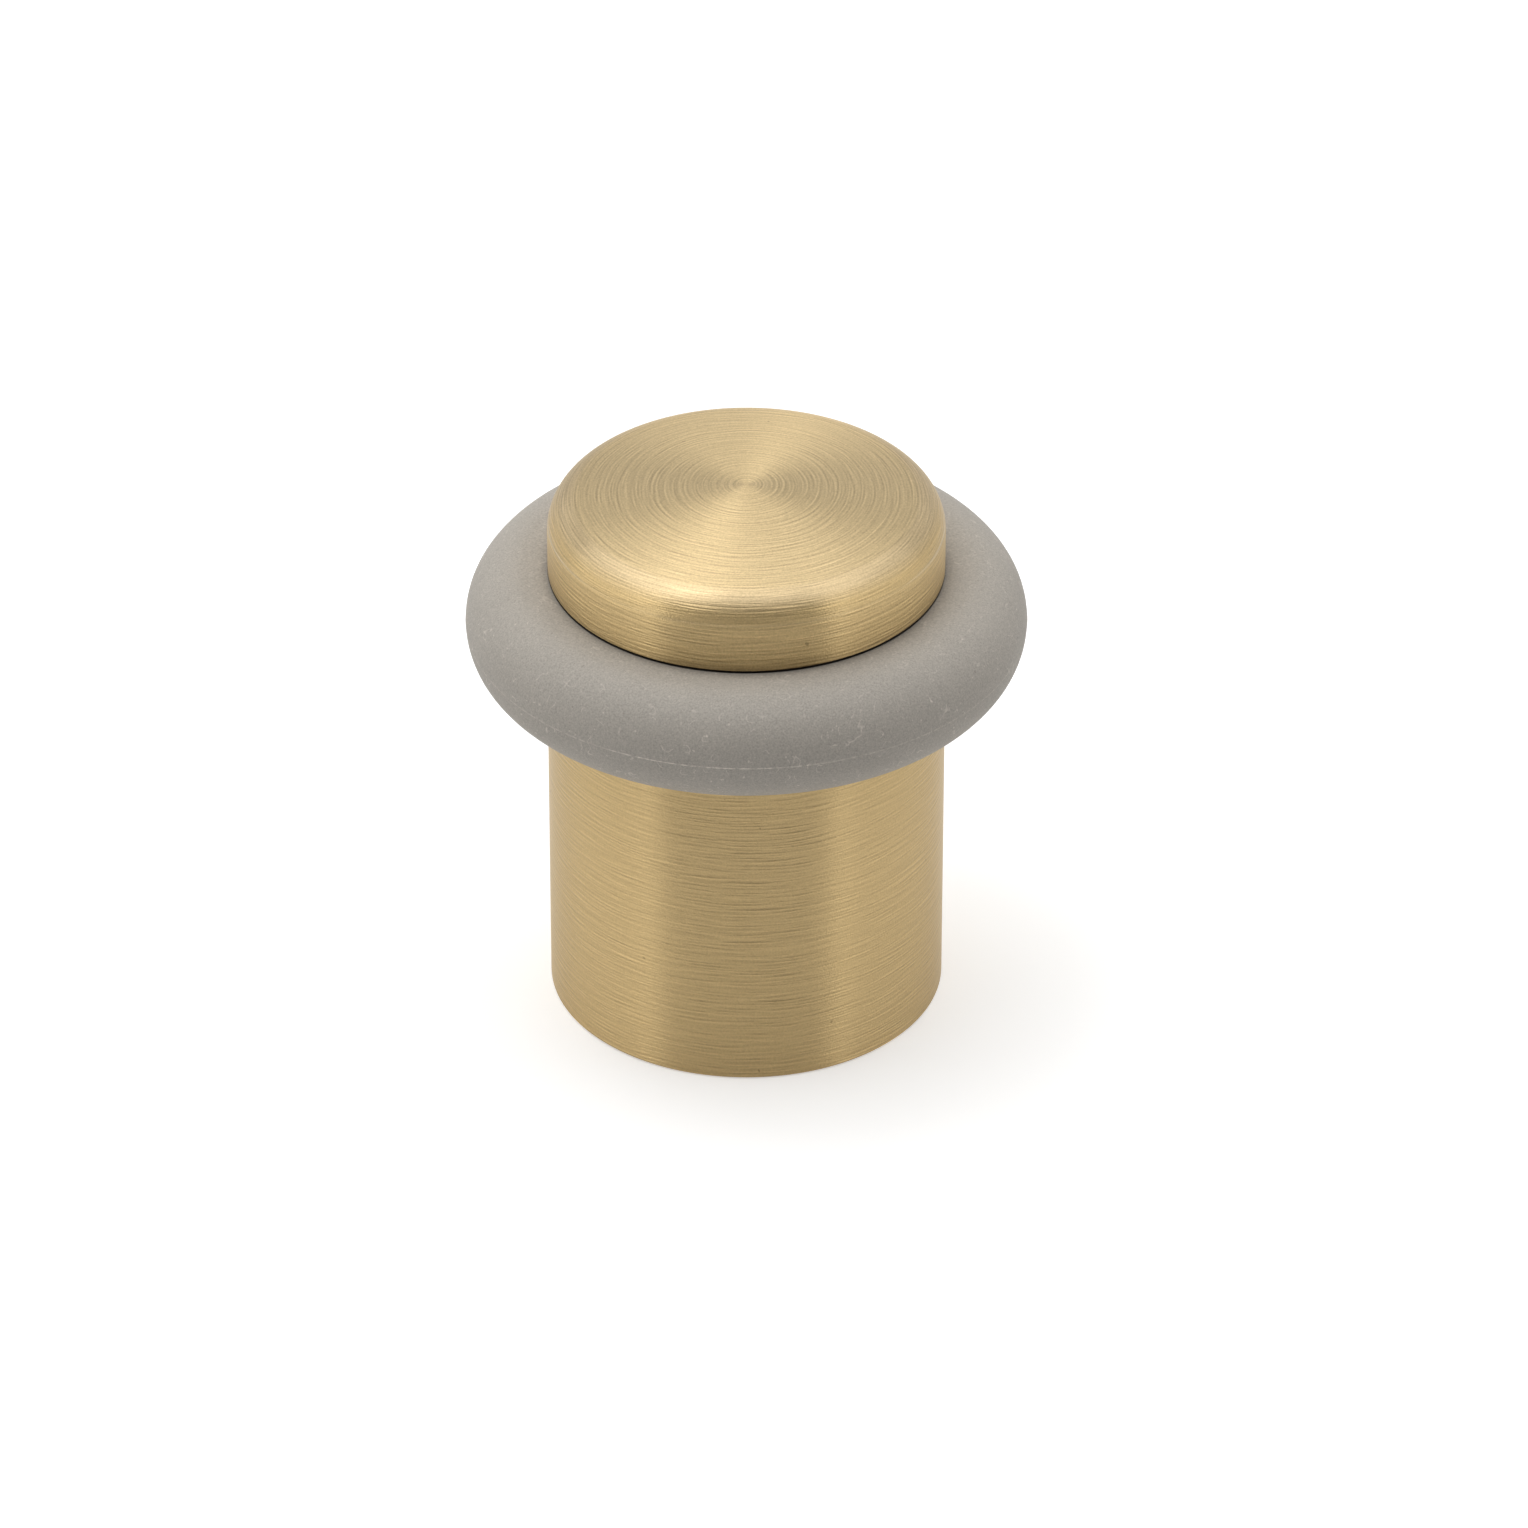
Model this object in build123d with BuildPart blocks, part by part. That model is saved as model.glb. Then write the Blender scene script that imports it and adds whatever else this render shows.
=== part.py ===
from build123d import *
import os
from math import radians, sqrt, tan

# Floor door stop: a turned brass body with a rubber buffer ring held in a groove under its head.
# Millimetres, +Z up. The origin is the centre of the base face, which stands on the floor.

# Body: a straight round bar with a faintly crowned, round-edged head
body_diameter = 30.0
overall_height = 43.45       # floor to the middle of the crown
crown_radius = 73.0          # spherical top of the head
head_edge_radius = 2.8       # between the crown and the side of the head
head_height = 7.1            # middle of the crown down to the face over the ring
base_edge_break = 0.3        # where the side meets the base face

# Groove that holds the ring
groove_depth = 3.0           # measured in from the side of the body
groove_lip_break = 0.1       # deburred lips of the groove

# Buffer ring: flat flanks in the groove and a fully round nose outside it
ring_diameter = 42.2
ring_height = 8.65
ring_flank_clearance = 0.1   # above and below the ring, the thin dark line under the head
ring_corner_break = 0.5      # inner corners, kept off the groove's corners so that the ring beds down

# Blind tapped hole for the fixing stud, M8 x 1.25
thread_diameter = 8.0
tapping_drill_diameter = 6.8
thread_length = 16.0
drill_depth = 20.0           # to the end of the full drill diameter
drill_point_angle = 118.0
mouth_diameter = 9.0         # countersunk lead-in for the stud
mouth_angle = 90.0

# Places worked out from the sizes above
body_radius = body_diameter / 2
seat_radius = body_radius - groove_depth
head_underside = overall_height - head_height
ring_top = head_underside - ring_flank_clearance
ring_bottom = ring_top - ring_height
stem_top = ring_bottom - ring_flank_clearance

os.makedirs("parts", exist_ok=True)


# Stop body: the bar, its crowned head and the groove are one turned profile
crown_rim_height = overall_height - (crown_radius - sqrt(crown_radius**2 - body_radius**2))

with BuildPart() as stop_body:
    with BuildSketch(Plane.XZ) as turned_profile:
        with BuildLine():
            Polyline(
                (0, overall_height),
                (0, 0),
                (body_radius, 0),
                (body_radius, stem_top),
                (seat_radius, stem_top),
                (seat_radius, head_underside),
                (body_radius, head_underside),
                (body_radius, crown_rim_height),
            )
            RadiusArc((body_radius, crown_rim_height), (0, overall_height), -crown_radius)
        make_face()
        crown_corner = turned_profile.vertices().group_by(Axis.X)[-1].sort_by(Axis.Y)[-1]
        fillet(crown_corner, head_edge_radius)
    revolve(axis=Axis.Z)

    # From the floor up, the first rims at full diameter are the base and the two lips of the groove
    full_rims = stop_body.edges().filter_by(Plane.XY).group_by(SortBy.RADIUS)[-1]
    base_rim, stem_lip, head_lip = full_rims.sort_by(Axis.Z)[:3]
    chamfer([stem_lip, head_lip], groove_lip_break)
    chamfer(base_rim, base_edge_break)

    # The fixing hole is drilled and tapped upwards from the base face
    drill_radius = tapping_drill_diameter / 2
    with Locations(-Plane.XY):
        CounterSinkHole(
            radius=thread_diameter / 2,
            counter_sink_radius=mouth_diameter / 2,
            depth=thread_length,
            counter_sink_angle=mouth_angle,
        )
        Hole(radius=drill_radius, depth=drill_depth)
    with Locations((0, 0, drill_depth)):
        Cone(
            bottom_radius=drill_radius,
            top_radius=0,
            height=drill_radius / tan(radians(drill_point_angle / 2)),
            align=(Align.CENTER, Align.CENTER, Align.MIN),
            mode=Mode.SUBTRACT,
        )

stop_body.part.label = "stop_body"
export_step(stop_body.part, "parts/stop_body.step")


# Buffer ring: it grips the groove's bottom all round and stands proud of the body as a bumper
nose_radius = ring_height / 2
nose_centre = ring_diameter / 2 - nose_radius

with BuildPart() as buffer_ring:
    with BuildSketch(Plane.XZ):
        with BuildLine():
            Polyline(
                (nose_centre, ring_top),
                (seat_radius, ring_top),
                (seat_radius, ring_bottom),
                (nose_centre, ring_bottom),
            )
            RadiusArc((nose_centre, ring_bottom), (nose_centre, ring_top), -nose_radius)
        make_face()
    revolve(axis=Axis.Z)

    # Moulded inner corners
    seat_rims = buffer_ring.edges().filter_by(Plane.XY).group_by(SortBy.RADIUS)[0]
    chamfer(seat_rims, ring_corner_break)

buffer_ring.part.label = "buffer_ring"
export_step(buffer_ring.part, "parts/buffer_ring.step")
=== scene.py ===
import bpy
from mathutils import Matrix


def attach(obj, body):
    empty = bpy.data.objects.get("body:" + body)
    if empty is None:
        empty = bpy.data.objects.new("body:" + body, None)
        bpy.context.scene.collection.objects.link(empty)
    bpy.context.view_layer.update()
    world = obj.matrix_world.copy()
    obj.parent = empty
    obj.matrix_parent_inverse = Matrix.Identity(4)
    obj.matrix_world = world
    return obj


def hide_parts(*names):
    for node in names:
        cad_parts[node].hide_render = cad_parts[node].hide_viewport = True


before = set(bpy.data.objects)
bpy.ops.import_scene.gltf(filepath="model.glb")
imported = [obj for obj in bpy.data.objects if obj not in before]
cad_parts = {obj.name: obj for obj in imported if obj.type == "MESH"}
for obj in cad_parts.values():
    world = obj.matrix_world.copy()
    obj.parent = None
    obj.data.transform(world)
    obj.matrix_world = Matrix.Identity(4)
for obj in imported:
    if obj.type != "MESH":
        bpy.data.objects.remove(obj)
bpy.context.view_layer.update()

from math import cos, pi, radians, sin, tan
import bpy
import numpy as np
from mathutils import Vector


# Camera
# In front of the stop and 33 degrees above it, with a lens so long that the rims are almost true
# ellipses. A small shift sets the stop in the frame.
camera_tilt = radians(32.89)
camera_aim = Vector((0.0, 0.0, 0.02115))
camera_distance = 0.6942
sight_line = Vector((0.0, -cos(camera_tilt), sin(camera_tilt)))
camera_data = bpy.data.cameras.new("camera")
camera_data.sensor_width = 36.0
camera_data.lens = 216.04
camera_data.shift_x = 0.01152
camera_data.shift_y = -0.01827
camera_data.clip_start = 0.05
camera_data.clip_end = 20.0
camera = bpy.data.objects.new("camera", camera_data)
camera.location = camera_aim + camera_distance * sight_line
camera.rotation_euler = sight_line.to_track_quat("Z", "Y").to_euler()
bpy.context.scene.collection.objects.link(camera)
bpy.context.scene.camera = camera
bpy.context.scene.view_settings.view_transform = "Standard"


# Floor and studio
# A white sheet that runs out of sight under the stop, a white room, soft boxes above and beside it,
# and a dark screen behind the camera, which the brass shows as the darker band down its front.
floor_reach = 4.0
floor_height = -0.00002             # just under the base, so that the two faces don't fight
floor_white = 0.8
floor_glow = 0.45                   # what the floor adds for the camera, to reach a pure white
floor_gloss = 0.30                  # and what it adds in the brass
fade_start, fade_end = 0.15, 0.6    # how far out the lit floor gives way to plain white
room_light = 0.36                   # the room's light on matt surfaces

def add(tree, kind, **settings):
    """One node of the kind, with its properties and, by name or place, the values of its sockets."""
    node = tree.nodes.new("ShaderNode" + kind)
    for key, value in settings.items():
        if key.startswith("in_"):
            name = key[3:].replace("_", " ")
            socket = node.inputs[int(name)] if name.isdigit() else node.inputs[name]
            if isinstance(value, bpy.types.NodeSocket):
                tree.links.new(value, socket)
            else:
                socket.default_value = value
        else:
            setattr(node, key, value)
    return node

def calc(tree, operation, *values):
    """A Math node on one or two numbers or sockets, as its output."""
    places = {f"in_{k}": value for k, value in enumerate(values)}
    return add(tree, "Math", operation=operation, **places).outputs[0]

def ramp(tree, value, start, end, low=0.0, high=1.0, smooth=False):
    """What goes from low to high while the value goes from start to end, and stays there beyond."""
    return add(
        tree, "MapRange", interpolation_type="SMOOTHSTEP" if smooth else "LINEAR",
        in_Value=value, in_1=start, in_2=end, in_3=low, in_4=high,
    ).outputs[0]

def seen(tree):
    """1 where the camera, a gloss or a glass looks at the surface, 0 where it only lights."""
    path = add(tree, "LightPath")
    rays = "Is Camera Ray", "Is Glossy Ray", "Is Transmission Ray"
    camera_ray, glossy_ray, glass_ray = [path.outputs[name] for name in rays]
    return calc(tree, "MAXIMUM", calc(tree, "MAXIMUM", camera_ray, glossy_ray), glass_ray)

def empty_tree(owner):
    """The node tree of a new material or world, with nothing in it."""
    owner.use_nodes = True
    owner.node_tree.nodes.clear()
    return owner.node_tree

def panel(name, corners):
    """A flat face between four corners, as an object in the scene."""
    mesh = bpy.data.meshes.new(name)
    mesh.from_pydata(corners, [], [(0, 1, 2, 3)])
    face = bpy.data.objects.new(name, mesh)
    bpy.context.scene.collection.objects.link(face)
    return face

floor = panel("floor", [
    (-floor_reach, -floor_reach, floor_height), (floor_reach, -floor_reach, floor_height),
    (floor_reach, floor_reach, floor_height), (-floor_reach, floor_reach, floor_height),
])
floor_paint = bpy.data.materials.new("floor_white")
floor_paint.cycles.emission_sampling = "NONE"
tree = empty_tree(floor_paint)
here = add(tree, "TexCoord").outputs["Object"]
far = add(tree, "VectorMath", operation="LENGTH", in_0=here).outputs["Value"]
far = ramp(tree, far, fade_start, fade_end, smooth=True)
looked_at = seen(tree)
lit = add(tree, "BsdfDiffuse", in_Color=(floor_white, floor_white, floor_white, 1.0))
to_camera = add(tree, "LightPath").outputs["Is Camera Ray"]
glow = ramp(tree, to_camera, 0.0, 1.0, floor_gloss, floor_glow)
glow = add(tree, "Emission", in_Strength=calc(tree, "MULTIPLY", looked_at, glow))
near_floor = add(tree, "AddShader", in_0=lit.outputs[0], in_1=glow.outputs[0])
far_floor = add(tree, "Emission")
floor_mix = add(
    tree, "MixShader", in_0=calc(tree, "MULTIPLY", looked_at, far),
    in_1=near_floor.outputs[0], in_2=far_floor.outputs[0],
)
add(tree, "OutputMaterial", in_Surface=floor_mix.outputs[0])
floor.data.materials.append(floor_paint)

world = bpy.data.worlds.new("white_room")
world.cycles.sampling_method = "NONE"
bpy.context.scene.world = world
tree = empty_tree(world)
room = add(tree, "Background", in_Strength=ramp(tree, seen(tree), 0.0, 1.0, room_light, 1.0))
add(tree, "OutputWorld", in_Surface=room.outputs[0])

def soft_box(name, place, width, height, radiance, aim=(0.0, 0.0, 0.03)):
    """A flat area lamp at a place, turned to the stop, as bright as a white of that radiance."""
    lamp = bpy.data.lights.new(name, "AREA")
    lamp.shape = "RECTANGLE"
    lamp.size, lamp.size_y = width, height
    lamp.energy = radiance * pi * width * height
    box = bpy.data.objects.new(name, lamp)
    box.location = place
    box.rotation_euler = (Vector(place) - Vector(aim)).to_track_quat("Z", "Y").to_euler()
    bpy.context.scene.collection.objects.link(box)

# Boxes that face straight down: place to the right, place to the back, width, depth, radiance.
ceiling_height = 1.2
ceiling = {
    "box_above_left": (-0.36, 0.0, 1.42, 0.7, 1.98),
    "box_above_right": (0.72, 0.0, 0.7, 0.7, 1.4),
    "box_behind_left": (-0.72, 0.72, 0.7, 0.7, 1.5),
    "box_behind": (0.0, 0.72, 0.7, 0.7, 1.25),
    "box_behind_right": (0.72, 0.72, 0.7, 0.7, 1.0),
    "box_front_left": (-0.72, -0.6, 0.7, 0.5, 0.9),
    "box_front_right": (0.36, -0.6, 1.42, 0.5, 0.25),
}
for name, (x, y, width, depth, radiance) in ceiling.items():
    soft_box(name, (x, y, ceiling_height), width, depth, radiance, aim=(x, y, 0.0))
soft_box("box_key", (-0.27, 0.12, 1.15), 0.3, 0.3, 3.1, aim=(-0.27, 0.12, 0.0))

# Boxes that stand round the stop and face it: place, width, height, radiance.
standing = {
    "wall_left": ((-1.25, -0.1, 0.45), 1.3, 0.4, 1.2),
    "wall_right": ((1.25, -0.1, 0.45), 1.3, 0.4, 0.6),
    "wall_back_left": ((-1.0, 0.95, 0.45), 0.9, 0.4, 0.45),
    "wall_back": ((0.0, 1.3, 0.45), 1.3, 0.4, 0.1),
    "wall_back_right": ((1.0, 0.95, 0.45), 0.9, 0.4, 0.1),
    "wall_back_high": ((0.0, 1.35, 0.95), 1.8, 0.5, 0.25),
    "strip_left": ((-0.95, -0.72, 0.09), 0.25, 0.16, 2.6),
    "strip_right": ((0.94, -0.74, 0.09), 0.25, 0.16, 2.8),
}
for name, (stand, width, height, radiance) in standing.items():
    soft_box(name, stand, width, height, radiance)

screen_left, screen_right, screen_front = -1.03, 0.96, -1.0
screen_foot, screen_head = 0.03, 1.75
screen = panel("dark_screen", [
    (screen_left, screen_front, screen_foot), (screen_right, screen_front, screen_foot),
    (screen_right, screen_front, screen_head), (screen_left, screen_front, screen_head),
])
screen.visible_camera = False
screen_paint = bpy.data.materials.new("screen_black")
tree = empty_tree(screen_paint)
black = add(tree, "BsdfDiffuse", in_Color=(0.02, 0.02, 0.02, 1.0))
add(tree, "OutputMaterial", in_Surface=black.outputs[0])
screen.data.materials.append(screen_paint)


# Stop body
# One piece turned from 30 mm brass bar: stem, groove for the ring, and a head with a rounded edge and
# a faint crown. It is brushed while it turns, then lacquered. It stands on its base face, and a stud
# in the floor holds it by a blind hole, drilled and tapped M8.
turns_round = 256           # points round the axis; sizes are in millimetres
body_radius = 15.0
body_top = 43.45
head_radius = 14.88         # the head comes out a touch slimmer than the stem
crown_radius = 73.0
edge_radius = 2.7
edge_points = 26            # along the rounded edge, and as many along the crown
head_underside, stem_top = 36.35, 27.5
seat_radius = 12.0
base_break, lip_break = 0.18, 0.1
thread_major, thread_minor, thread_pitch, thread_end = 4.0, 3.4, 1.25, 16.0
thread_flat = 0.2           # half the flat on the thread's crest
thread_fade = 1.9           # how long the thread takes to run out
drill_end = 20.0
drill_slope = radians(59)   # half the angle of the drill's point
mouth_radius = 4.5

def softened(corners):
    """A line of straight runs through (radius, height, rounding) corners. Each corner is an arc that
    leaves its runs at rounding * tan(half the turn), with points up to 12 degrees apart. Each run has
    a point just inside both its ends and more between them, up to 2 mm apart."""
    points = []
    spot = np.array([c[:2] for c in corners])
    for k, (_, _, rounding) in enumerate(corners):
        if 0 < k < len(corners) - 1 and rounding:
            back, on = spot[k - 1] - spot[k], spot[k + 1] - spot[k]
            back, on = back / np.linalg.norm(back), on / np.linalg.norm(on)
            half = np.arccos(np.clip(-back @ on, -1, 1)) / 2
            middle = spot[k] + (back + on) / np.linalg.norm(back + on) * rounding / np.cos(half)
            start = spot[k] + back * rounding * np.tan(half) - middle
            side = np.sign(start[0] * on[1] - start[1] * on[0])
            turn = side * np.linspace(0, 2 * half, 2 + int(np.degrees(half) / 6))
            arc = np.stack([
                start[0] * np.cos(turn) - start[1] * np.sin(turn),
                start[0] * np.sin(turn) + start[1] * np.cos(turn),
            ], -1) + middle
            points.append(arc)
        else:
            points.append(spot[k:k + 1])
    line = [points[0]]
    for before, after in zip(points[:-1], points[1:]):
        a, b = before[-1], after[0]
        length = np.linalg.norm(b - a)
        inset = min(0.06, length / 3) / length
        between = np.linspace(inset, 1 - inset, 2 + int(length / 2.0))[:, None]
        line += [a + (b - a) * between, after]
    return np.concatenate(line)

def turned(line, steps):
    """Each (radius, height) point of a line, carried once round the axis: x = r sin a, y = -r cos a."""
    a = np.arange(steps) * 2 * pi / steps
    r, z = line[:, :1], line[:, 1:]
    return np.stack([r * np.sin(a), -r * np.cos(a), z + 0 * a], -1)

def closed_round(rows, steps):
    """Four-sided faces between each row of points and the next, all the way round."""
    corner = np.arange((rows - 1) * steps).reshape(rows - 1, steps)
    beside = np.roll(corner, -1, axis=1)
    return np.stack([corner, beside, beside + steps, corner + steps], -1).reshape(-1, 4)

def welded_piece(name, points, faces):
    """A smooth piece in metres from points in millimetres. Points at one place become one, and a face
    drops the corners that it then has twice, so poles and the ends of a thread close."""
    _, first, same = np.unique(np.round(points, 5), axis=0, return_index=True, return_inverse=True)
    corners = same.reshape(-1)[faces]
    kept = corners != np.roll(corners, 1, axis=1)
    whole = kept.sum(1) >= 3
    corners, kept = corners[whole], kept[whole]
    total = kept.sum(1)
    mesh = bpy.data.meshes.new(name)
    mesh.vertices.add(len(first))
    mesh.vertices.foreach_set("co", (points[first] * 0.001).astype(np.float32).ravel())
    mesh.loops.add(int(total.sum()))
    mesh.loops.foreach_set("vertex_index", corners[kept].astype(np.int32))
    mesh.polygons.add(len(total))
    mesh.polygons.foreach_set("loop_start", (np.cumsum(total) - total).astype(np.int32))
    mesh.polygons.foreach_set("loop_total", total.astype(np.int32))
    mesh.update(calc_edges=True)
    mesh.validate()
    mesh.shade_smooth()
    piece = bpy.data.objects.new(name, mesh)
    bpy.context.scene.collection.objects.link(piece)
    return piece

def thread_surface(steps):
    """The mouth and thread of the hole, on rows that climb one pitch a turn. From the crest line each
    row's points stand a fixed distance along the axis. The radius is the crest's near that line, the
    root's away from it, a 60 degree flank between, the mouth's cone where that is wider, and the
    drill's where the tap ran out. The rows start a pitch below the mouth and end above the thread,
    where the limits on the height lay them on each other, and the last turn gets no faces."""
    flank = (thread_major - thread_minor) * tan(pi / 6)
    half = thread_pitch / 2
    across = np.array([
        -half, -thread_flat - flank, -thread_flat - flank * 0.5, -thread_flat,
        0.0, thread_flat, thread_flat + flank * 0.5, thread_flat + flank,
    ])
    count = len(across)
    turns = int(thread_end / thread_pitch) + 4
    step = np.arange(turns * steps + 1)[:, None]
    lift = step * thread_pitch / steps + across - thread_pitch
    z = np.clip(lift, 0.0, thread_end)
    off = np.abs((z - step * thread_pitch / steps + half) % thread_pitch - half)
    depth = (thread_major - thread_minor) * np.clip((thread_end - z) / thread_fade, 0, 1)
    r = thread_minor + depth * np.clip((off - thread_flat) / flank, 0, 1)
    r = np.maximum(r, mouth_radius - z)
    a = (step % steps) * 2 * pi / steps
    points = np.stack([r * np.sin(a), -r * np.cos(a), z], -1).reshape(-1, 3)
    k = np.arange(turns * steps)[:, None] * count
    j = np.arange(count)
    above = np.where(j < count - 1, k + j + 1, k + count * steps)
    beside_above = np.where(j < count - 1, k + count + j + 1, k + count * (steps + 1))
    faces = np.stack([k + j, above, beside_above, k + count + j], -1)
    faces = faces[: (turns - 1) * steps - 1].reshape(-1, 4)
    return points, faces

# The rounded edge is an arc that leaves the side upright and meets the crown's arc at one slope.
lean = np.arcsin((head_radius - edge_radius) / (crown_radius - edge_radius))
edge_height = body_top - crown_radius + (crown_radius - edge_radius) * cos(lean)
edge_turn = np.linspace(0, pi / 2 - lean, edge_points)
edge = np.stack([
    head_radius - edge_radius + edge_radius * np.cos(edge_turn),
    edge_height + edge_radius * np.sin(edge_turn),
], -1)
crown_turn = np.linspace(lean, 0, edge_points)[1:]
crown = np.stack([
    crown_radius * np.sin(crown_turn),
    body_top - crown_radius + crown_radius * np.cos(crown_turn),
], -1)
outside = softened([
    (mouth_radius, 0.0, 0),
    (body_radius - base_break, 0.0, 0.08), (body_radius, base_break, 0.08),
    (body_radius, stem_top - lip_break, 0.08), (body_radius - lip_break, stem_top, 0.08),
    (seat_radius, stem_top, 0.1), (seat_radius, head_underside, 0.1),
    (head_radius - lip_break, head_underside, 0.05), (head_radius, head_underside + lip_break, 0.05),
    (head_radius, edge_height, 0),
])
outside = np.concatenate([outside, edge[1:], crown])
drilled = softened([
    (thread_minor, thread_end, 0), (thread_minor, drill_end, 0.15),
    (0.0, drill_end + thread_minor / tan(drill_slope), 0),
])[::-1]

body_points, body_faces, count = [], [], 0
for line in (drilled, outside):
    body_points.append(turned(line, turns_round).reshape(-1, 3))
    body_faces.append(closed_round(len(line), turns_round) + count)
    count += len(body_points[-1])
thread_points, thread_faces = thread_surface(turns_round)
body_points.append(thread_points)
body_faces.append(thread_faces + count)
stop_body = welded_piece(
    "stop_body_turned", np.concatenate(body_points), np.concatenate(body_faces)
)

def noise(tree, place, scale, detail=0.0, roughness=0.5, seed=None):
    """A noise of so many cells a metre, from 0 to 1. Each seed gives another one."""
    other = {} if seed is None else {"noise_dimensions": "4D", "in_W": seed}
    return add(
        tree, "TexNoise", **other,
        in_Vector=place, in_Scale=scale, in_Detail=detail, in_Roughness=roughness,
    ).outputs[0]

def patches(tree, place, scale, seed, least):
    """1 inside the few patches where a noise stands above a limit, 0 elsewhere."""
    return ramp(tree, noise(tree, place, scale, seed=seed), least, least + 0.02)

def shares(tree, *parts):
    """The sum of (socket, share) parts, each socket times its share."""
    total, *rest = [calc(tree, "MULTIPLY", value, share) for value, share in parts]
    for part in rest:
        total = calc(tree, "ADD", total, part)
    return total

def apart(tree, value, middle):
    """How far the value is from the middle, either way."""
    return calc(tree, "ABSOLUTE", calc(tree, "SUBTRACT", value, middle))

def off_axis(tree, place):
    """How far the place is from the axis that the stop is turned on."""
    level = add(tree, "VectorMath", operation="MULTIPLY", in_0=place, in_1=(1.0, 1.0, 0.0))
    return add(tree, "VectorMath", operation="LENGTH", in_0=level.outputs[0]).outputs["Value"]

def blended(tree, share, first, second):
    """The first colour where the share is 0, the second where it is 1."""
    return add(tree, "Mix", data_type="VECTOR", in_0=share, in_4=first, in_5=second).outputs[1]

def scaled(tree, vector, amount):
    """A colour or direction times an amount."""
    return add(tree, "VectorMath", operation="SCALE", in_0=vector, in_Scale=amount).outputs[0]

# Brushed brass. Lengths in the materials are in metres, and upward is 0 on the sides, 1 on a flat top.
brass_colour = (0.545, 0.400, 0.195)
brass_edge_highlight_colour = (0.530, 0.409, 0.236)     # the rounded edge is painted paler where its highlights fall, a painted highlight tint
brass_face_highlight_colour = (0.522, 0.401, 0.221)     # and so is the crown, less
# the colour of a painted highlight, a thin pale line on the rounded edge
painted_edge_highlight_colour = (0.64, 0.58, 0.47)
side_line_depth, top_line_depth = 0.00007, 0.00002
stem_contrast, head_contrast, top_contrast = 0.53, 0.72, 0.88
groove_middle = 0.030                         # between stem and head, out of sight
groove_end = 0.0362                           # just below the head's underside
painted_edge_highlight_height = 0.04025

brass = bpy.data.materials.new("satin_brass_brushed")
tree = empty_tree(brass)
place = add(tree, "TexCoord").outputs["Object"]
place_x, place_y, place_z = add(tree, "SeparateXYZ", in_0=place).outputs
from_axis = off_axis(tree, place)
profile = calc(tree, "SUBTRACT", from_axis, place_z)
normal = add(tree, "NewGeometry").outputs["Normal"]
upward = add(tree, "SeparateXYZ", in_0=normal).outputs["Z"]

def brush_lines(along, across, sway, seed):
    """Fine lines round the axis, 0 on average: a noise less the same noise a little further across,
    which leaves no broad bands. Its coordinates are x and y, scaled low, and the distance along the
    profile (radius less height), scaled high. A slow noise sways that by up to so many metres, so
    that the lines of one set cross those of another. Both scales are per metre."""
    slow = noise(tree, place, 150.0, detail=1.0, seed=seed)
    swayed = calc(tree, "ADD", profile, calc(tree, "MULTIPLY", slow, sway))
    swayed = calc(tree, "MULTIPLY", swayed, across)
    x = calc(tree, "MULTIPLY", place_x, along)
    y = calc(tree, "MULTIPLY", place_y, along)
    pair = []
    for shift in (0.0, 0.6):
        shifted = calc(tree, "ADD", swayed, shift)
        vector = add(tree, "CombineXYZ", in_X=x, in_Y=y, in_Z=shifted).outputs[0]
        pair.append(noise(tree, vector, 1.0, seed=seed))
    return calc(tree, "SUBTRACT", *pair)

# Three sets of lines and a fine grain, cut deepest on the sides.
fine = brush_lines(300.0, 5600.0, 0.0003, 1.0)
crossed = brush_lines(260.0, 4600.0, 0.0011, 2.0)
coarse = brush_lines(160.0, 1500.0, 0.0003, 3.0)
lines = shares(tree, (fine, 0.5), (crossed, 0.4), (coarse, 0.06))
grain = noise(tree, place, 7500.0)
depth = ramp(tree, upward, 0.4, 0.9, side_line_depth, top_line_depth)
uneven = calc(tree, "ADD", lines, calc(tree, "MULTIPLY", grain, 0.18))
bump = add(tree, "Bump", in_Strength=1.0, in_Distance=depth, in_Height=uneven)

# The same lines lighten and darken the colour. On the sides the light ones also glint, a painted
# glint, and the side of the head is a little paler than the stem, which is painted light.
top_part = ramp(tree, upward, 0.2, 0.7, 0.0, top_contrast)
side_part = ramp(
    tree, place_z, groove_middle, groove_middle + 0.001, stem_contrast, head_contrast
)
contrast = calc(tree, "MAXIMUM", top_part, side_part)
glint_part = ramp(tree, upward, 0.2, 0.7, 0.35, 0.0)
glints = calc(tree, "MULTIPLY", calc(tree, "MAXIMUM", lines, 0.0), glint_part)
speckle = calc(tree, "MULTIPLY", calc(tree, "SUBTRACT", grain, 0.5), 0.42)
tint = calc(tree, "ADD", calc(tree, "ADD", lines, glints), speckle)
tint = calc(tree, "ADD", calc(tree, "MULTIPLY", tint, contrast), 1.0)
# Painted light: the head's side is made a little paler than the stem.
head_side_painted_light = ramp(tree, upward, 0.05, 0.3, 0.06, 0.0)
above_groove = calc(tree, "GREATER_THAN", place_z, groove_end)
head_side_painted_light = calc(tree, "ADD", calc(tree, "MULTIPLY", head_side_painted_light, above_groove), 1.0)
tint = calc(tree, "MULTIPLY", tint, head_side_painted_light)

# A few small pits are darker.
pit = patches(tree, place, 1500.0, 8.0, 0.85)
pitted = calc(tree, "SUBTRACT", 1.0, calc(tree, "MULTIPLY", pit, 0.35))
tint = calc(tree, "MULTIPLY", tint, pitted)

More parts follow.
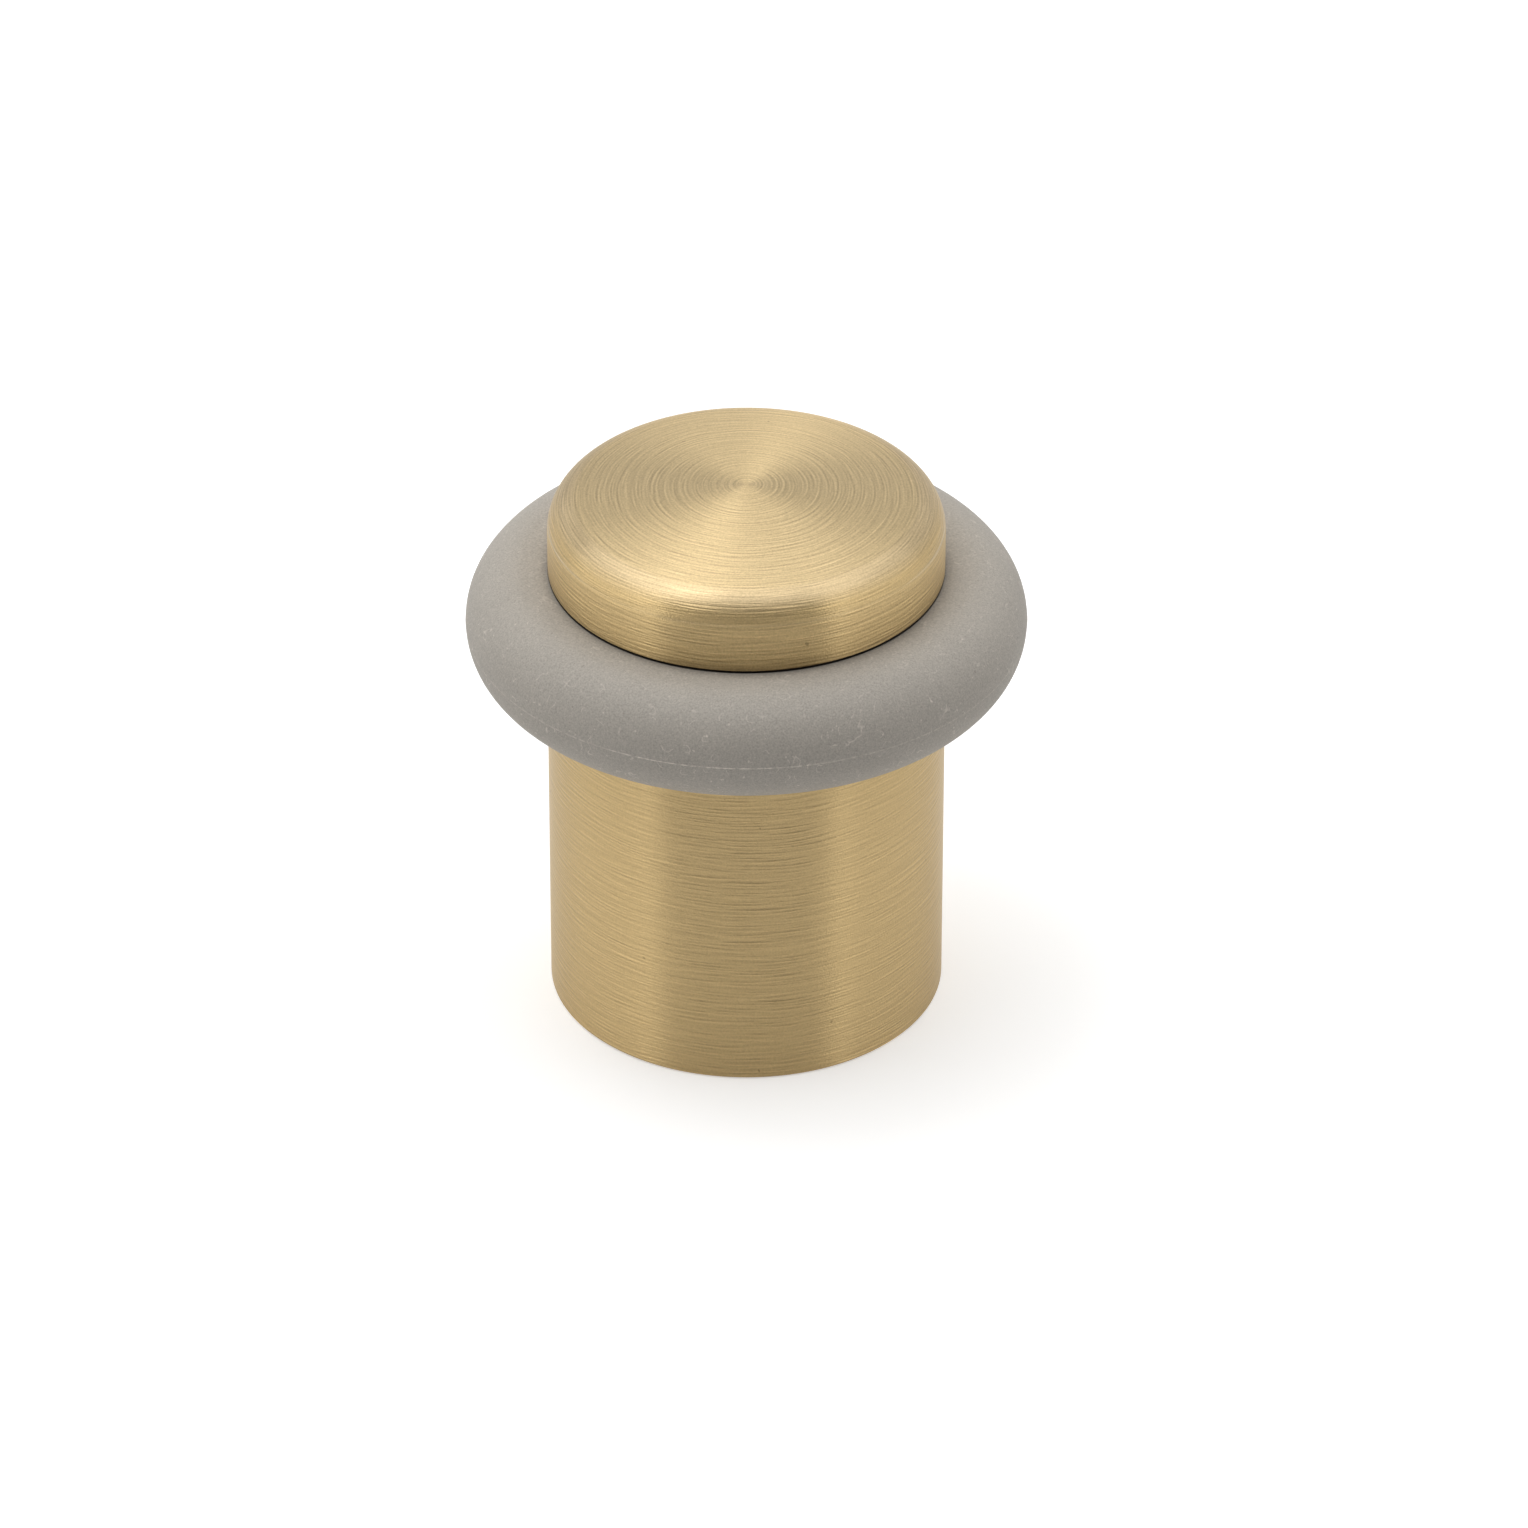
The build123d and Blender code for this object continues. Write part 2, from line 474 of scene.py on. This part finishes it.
# Painted shade: the head's lip is dark where it meets the ring, and its side is shaded a little
# just above.
lip_painted_shade = ramp(tree, place_z, 0.0363, 0.0365, 0.15, 1.0)
above_lip_painted_shade = ramp(tree, place_z, 0.0364, 0.0373, 0.84, 1.0)
painted_shade = calc(tree, "MULTIPLY", lip_painted_shade, above_lip_painted_shade)
below_groove_end = calc(tree, "LESS_THAN", place_z, groove_end)
painted_shade = calc(tree, "MAXIMUM", painted_shade, below_groove_end)

# Stem, rounded edge and crown differ a little in colour: edge and crown are tinted paler where their
# highlights fall, a painted highlight tint. A thin pale line, a painted highlight, runs low on the
# rounded edge, faint in front and clearer towards both sides.
# Painted highlight tint on the rounded edge and the crown.
edge_highlight_part = ramp(tree, upward, 0.5, 0.8)
face_highlight_part = ramp(tree, upward, 0.95, 0.985)
colour = blended(tree, edge_highlight_part, brass_colour, brass_edge_highlight_colour)
colour = blended(tree, face_highlight_part, colour, brass_face_highlight_colour)
# Painted highlight: a thin pale line low on the rounded edge, stronger towards the sides.
painted_edge_highlight = apart(tree, place_z, painted_edge_highlight_height)
painted_edge_highlight = ramp(tree, painted_edge_highlight, 0.00003, 0.00014, 0.42, 0.0)
highlight_at_sides = ramp(tree, apart(tree, place_x, 0.0), 0.0115, 0.0147, 0.1, 1.0)
painted_edge_highlight = calc(tree, "MULTIPLY", painted_edge_highlight, highlight_at_sides)
colour = blended(tree, painted_edge_highlight, colour, painted_edge_highlight_colour)
colour = scaled(tree, colour, calc(tree, "MULTIPLY", tint, painted_shade))

# The lines spread the gloss across themselves, so its direction runs round the axis. On the crown,
# and most at its middle, each spot also leans a little along them, which softens the fan of light.
round_axis = add(tree, "Tangent", direction_type="RADIAL", axis="Z").outputs[0]
crown_spread = ramp(tree, upward, 0.9, 0.98, 0.0, 0.2)
middle_spread = ramp(tree, from_axis, 0.0, 0.003, 0.6, 0.0)
spread = calc(tree, "ADD", crown_spread, middle_spread)
chance = add(tree, "TexWhiteNoise", in_Vector=place).outputs["Value"]
spread = calc(tree, "MULTIPLY", calc(tree, "SUBTRACT", chance, 0.5), spread)
aside = scaled(tree, round_axis, spread)
leaned = add(tree, "VectorMath", operation="ADD", in_0=bump.outputs[0], in_1=aside).outputs[0]
leaned = add(tree, "VectorMath", operation="NORMALIZE", in_0=leaned).outputs[0]
metal = add(
    tree, "BsdfPrincipled", in_Base_Color=colour, in_Metallic=1.0, in_Roughness=0.36,
    in_Anisotropic=0.98, in_Anisotropic_Rotation=0.25, in_Specular_Tint=(0.85, 0.85, 0.85, 1.0),
    in_Coat_Weight=0.1, in_Coat_Roughness=0.15, in_Normal=leaned, in_Tangent=round_axis,
)
add(tree, "OutputMaterial", in_Surface=metal.outputs[0])
stop_body.data.materials.append(brass)
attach(stop_body, "root")
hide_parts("stop_body")


# Buffer ring
# A ring moulded in warm grey rubber, stretched over the head into the groove. Its flanks are flat,
# its nose is fully round, and a thin broken line of flash runs round it where the mould parted.
ring_bottom, ring_top = 27.6, 36.25
nose_radius = (ring_top - ring_bottom) / 2
nose_middle = 21.1 - nose_radius
ring_middle = (ring_top + ring_bottom) / 2
ring_steps = 384
corner_break = 0.5          # how far the corners inside the groove are cut back
dip = 0.09                  # how far the head's lip presses the top flank down
flash_height, flash_width = 0.03, 0.05
flash_waves = 59            # how many waves round the ring make its height uneven

def ring_surface(steps):
    """The ring's section, carried round the axis: flat flanks, small bevels at the inner corners and
    a half round nose. The nose is lower than its full radius by the flash's height, save at the
    parting line, where a bell-shaped ridge as wide as the flash stands up by a height that varies
    round the ring, a sum of cosine waves."""
    lower, ridge_part, upper = (-90, -4, 44), (-3.2, 3.2, 17), (4, 90, 44)
    swing = np.concatenate([np.linspace(*part) for part in (lower, ridge_part, upper)])
    swing = np.radians(swing)
    nose = np.stack([np.cos(swing), np.sin(swing)], -1)
    inside = softened([
        (nose_middle, ring_top, 0), (head_radius, ring_top, 0.03),
        (head_radius - 0.12, ring_top - dip, 0.06),
        (seat_radius + corner_break, ring_top - dip, 0.1), (seat_radius, ring_top - corner_break, 0.1),
        (seat_radius, ring_bottom + corner_break, 0.1), (seat_radius + corner_break, ring_bottom, 0.1),
        (nose_middle, ring_bottom, 0),
    ])[1:-1]
    a = np.arange(steps) * 2 * pi / steps
    random = np.random.default_rng(7)
    waves = np.arange(1, flash_waves + 1)
    swell = random.normal(size=flash_waves) / np.sqrt(waves)
    shift = random.uniform(0, 2 * pi, flash_waves)
    height = (swell[:, None] * np.cos(waves[:, None] * a + shift[:, None])).sum(0)
    height = np.clip(0.5 + 0.22 * height, 0.0, 1.0)
    ridge = np.exp(-((swing * nose_radius / flash_width) ** 2))[:, None] * height
    fall = flash_height * (1 - ridge) * np.cos(swing)[:, None] ** 2
    r = nose_middle + nose[:, :1] * nose_radius - fall
    z = ring_middle + nose[:, 1:] * nose_radius + 0 * a
    outer = np.stack([r * np.sin(a), -r * np.cos(a), z], -1)
    return np.concatenate([outer, turned(inside, steps), outer[:1]])

ring_rows = ring_surface(ring_steps)
ring_faces = closed_round(len(ring_rows), ring_steps)
buffer_ring = welded_piece("buffer_ring_moulded", ring_rows.reshape(-1, 3), ring_faces)

# Moulded rubber: a fine grain, and a little unevenness at two wider scales.
rubber_colour = (0.412, 0.380, 0.335)
grain_depth = 0.00001
bright_spot = -0.003        # where across the front the mould line is clearest
lower_half = 0.032

rubber = bpy.data.materials.new("grey_rubber_moulded")
tree = empty_tree(rubber)
place = add(tree, "TexCoord").outputs["Object"]
place_x, _, place_z = add(tree, "SeparateXYZ", in_0=place).outputs
grain = noise(tree, place, 7600.0, detail=1.0, roughness=0.6)
mottle = noise(tree, place, 1700.0, detail=1.0)
cloud = noise(tree, place, 230.0, detail=2.0)
tone = shares(tree, (grain, 0.72), (mottle, 0.06), (cloud, 0.10))
tone = calc(tree, "ADD", tone, 0.57)

# Pale fibres, which are the curls where a noise crosses its middle, kept in a few patches. Pale
# specks lie between them. Both are weaker on the upper side.
curl = apart(tree, noise(tree, place, 1300.0, seed=4.0), 0.5)
fibre = ramp(tree, curl, 0.010, 0.030, 1.0, 0.0)
fibre = calc(tree, "MULTIPLY", fibre, patches(tree, place, 900.0, 5.0, 0.63))
speck = patches(tree, place, 3300.0, 6.0, 0.775)
upper_side = ramp(tree, place_z, 0.0335, 0.0355, 1.0, 0.55)
marks = shares(tree, (fibre, 0.34), (speck, 0.36))
marks = calc(tree, "MULTIPLY", marks, upper_side)

# The flash is a pale line in beads, worn finer away from its clearest place. A few pits are darker.
mould_line = apart(tree, place_z, ring_middle * 0.001)
mould_line = ramp(tree, mould_line, 0.00003, 0.00007, 1.0, 0.0)
beads = ramp(tree, noise(tree, place, 2100.0, detail=1.0), 0.36, 0.62, 0.15, 1.0)
worn = ramp(tree, apart(tree, place_x, bright_spot), 0.0045, 0.0105, 1.0, 0.4)
mould_line = calc(tree, "MULTIPLY", calc(tree, "MULTIPLY", mould_line, beads), worn)
pit = patches(tree, place, 2400.0, 7.0, 0.83)
marks = calc(tree, "ADD", marks, calc(tree, "MULTIPLY", mould_line, 0.7))
marks = calc(tree, "SUBTRACT", marks, calc(tree, "MULTIPLY", pit, 0.2))
tone = calc(tree, "ADD", tone, marks)

# Painted shade: the upper side is shaded softly beside the head, and dark in the line where
# they touch.
from_axis = off_axis(tree, place)
head_painted_shade = ramp(tree, from_axis, 0.0148, 0.0157, 0.76, 1.0, smooth=True)
contact_painted_shade = ramp(tree, from_axis, 0.01478, 0.01492, 0.3, 1.0)
painted_shade = calc(tree, "MULTIPLY", head_painted_shade, contact_painted_shade)
painted_shade = calc(tree, "MAXIMUM", painted_shade, calc(tree, "LESS_THAN", place_z, lower_half))
tone = calc(tree, "MULTIPLY", tone, painted_shade)
colour = scaled(tree, rubber_colour, tone)
bump = add(tree, "Bump", in_Strength=1.0, in_Distance=grain_depth, in_Height=grain)
skin = add(
    tree, "BsdfPrincipled", in_Base_Color=colour, in_Roughness=0.65, in_Specular_IOR_Level=0.4,
    in_Normal=bump.outputs[0],
)
add(tree, "OutputMaterial", in_Surface=skin.outputs[0])
buffer_ring.data.materials.append(rubber)
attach(buffer_ring, "root")
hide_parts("buffer_ring")
